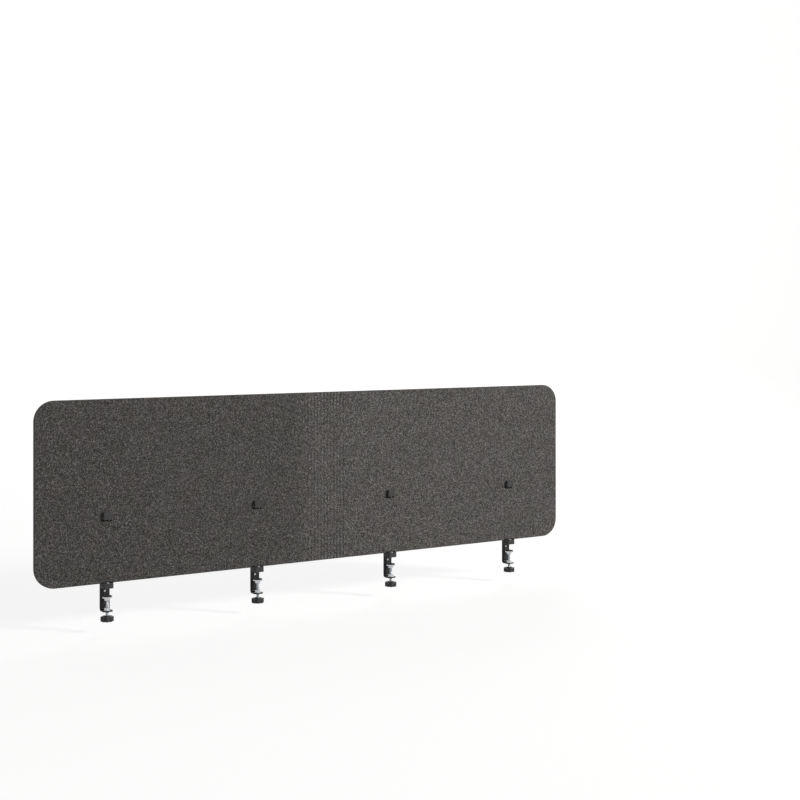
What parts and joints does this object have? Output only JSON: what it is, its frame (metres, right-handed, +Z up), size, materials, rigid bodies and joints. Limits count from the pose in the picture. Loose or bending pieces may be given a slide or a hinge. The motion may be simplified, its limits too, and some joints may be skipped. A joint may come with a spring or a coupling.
{
  "type": "desk divider screen",
  "caption": "Low charcoal felt screen with rounded corners, hung on hooked steel brackets that clamp to the rear edge of a desk top with thumb screws.",
  "frame": {"origin": "the middle of the desk top's rear upper edge, where the jaws grip it", "axes": "+X along the board to the right as seen from the user's side, +Y away from the user, +Z up"},
  "size_m": [1.6, 0.038, 0.5425],
  "materials": {
    "felt": "pressed melange felt, charcoal",
    "black_powder_coat": "satin black powder coat",
    "black_plastic": "fine-textured black moulding",
    "zinc_plated_steel": "clear zinc plating",
    "rubber": "matt black rubber"
  },
  "bodies": {
    "screen": {"panel": "felt", "jaw_rivets": "zinc_plated_steel", "cover_screws": "zinc_plated_steel", "bracket_1": "black_powder_coat", "bracket_2": "black_powder_coat", "bracket_3": "black_powder_coat", "bracket_4": "black_powder_coat", "upper_jaw_1": "black_powder_coat", "upper_jaw_2": "black_powder_coat", "upper_jaw_3": "black_powder_coat", "upper_jaw_4": "black_powder_coat", "hook_cap_1": "black_plastic", "hook_cap_2": "black_plastic", "hook_cap_3": "black_plastic", "hook_cap_4": "black_plastic", "jaw_cover_1": "black_plastic", "jaw_cover_2": "black_plastic", "jaw_cover_3": "black_plastic", "jaw_cover_4": "black_plastic", "upper_pad_1": "rubber", "upper_pad_2": "rubber", "upper_pad_3": "rubber", "upper_pad_4": "rubber", "clamp_nut_1": "zinc_plated_steel", "clamp_nut_2": "zinc_plated_steel", "clamp_nut_3": "zinc_plated_steel", "clamp_nut_4": "zinc_plated_steel"},
    "pressure_foot_1": {"pressure_plate_1": "zinc_plated_steel", "lower_pad_1": "rubber"},
    "spindle_1": {"clamp_screw_1": "zinc_plated_steel", "thumb_wheel_1": "black_plastic"},
    "pressure_foot_2": {"pressure_plate_2": "zinc_plated_steel", "lower_pad_2": "rubber"},
    "spindle_2": {"clamp_screw_2": "zinc_plated_steel", "thumb_wheel_2": "black_plastic"},
    "pressure_foot_3": {"pressure_plate_3": "zinc_plated_steel", "lower_pad_3": "rubber"},
    "spindle_3": {"clamp_screw_3": "zinc_plated_steel", "thumb_wheel_3": "black_plastic"},
    "pressure_foot_4": {"pressure_plate_4": "zinc_plated_steel", "lower_pad_4": "rubber"},
    "spindle_4": {"clamp_screw_4": "zinc_plated_steel", "thumb_wheel_4": "black_plastic"}
  },
  "joints": [
    {"name": "plate_travel_1", "type": "slide", "parent": "screen", "child": "pressure_foot_1", "axis": [0, 0, 1], "range_m": [-0.017, 0.008]},
    {"name": "wheel_turn_1", "type": "hinge", "parent": "pressure_foot_1", "child": "spindle_1", "pos_m": [-0.62, -0.015, -0.0735], "axis": [0, 0, 1], "range_deg": [-4896, 2304]},
    {"name": "plate_travel_2", "type": "slide", "parent": "screen", "child": "pressure_foot_2", "axis": [0, 0, 1], "range_m": [-0.017, 0.008]},
    {"name": "wheel_turn_2", "type": "hinge", "parent": "pressure_foot_2", "child": "spindle_2", "pos_m": [-0.20667, -0.015, -0.0735], "axis": [0, 0, 1], "range_deg": [-4896, 2304]},
    {"name": "plate_travel_3", "type": "slide", "parent": "screen", "child": "pressure_foot_3", "axis": [0, 0, 1], "range_m": [-0.017, 0.008]},
    {"name": "wheel_turn_3", "type": "hinge", "parent": "pressure_foot_3", "child": "spindle_3", "pos_m": [0.20667, -0.015, -0.0735], "axis": [0, 0, 1], "range_deg": [-4896, 2304]},
    {"name": "plate_travel_4", "type": "slide", "parent": "screen", "child": "pressure_foot_4", "axis": [0, 0, 1], "range_m": [-0.017, 0.008]},
    {"name": "wheel_turn_4", "type": "hinge", "parent": "pressure_foot_4", "child": "spindle_4", "pos_m": [0.62, -0.015, -0.0735], "axis": [0, 0, 1], "range_deg": [-4896, 2304]}
  ],
  "couplings": [
    {"joint": "wheel_turn_1", "follows": "plate_travel_1", "rad_per_m": 5026.5},
    {"joint": "wheel_turn_2", "follows": "plate_travel_2", "rad_per_m": 5026.5},
    {"joint": "wheel_turn_3", "follows": "plate_travel_3", "rad_per_m": 5026.5},
    {"joint": "wheel_turn_4", "follows": "plate_travel_4", "rad_per_m": 5026.5}
  ]
}
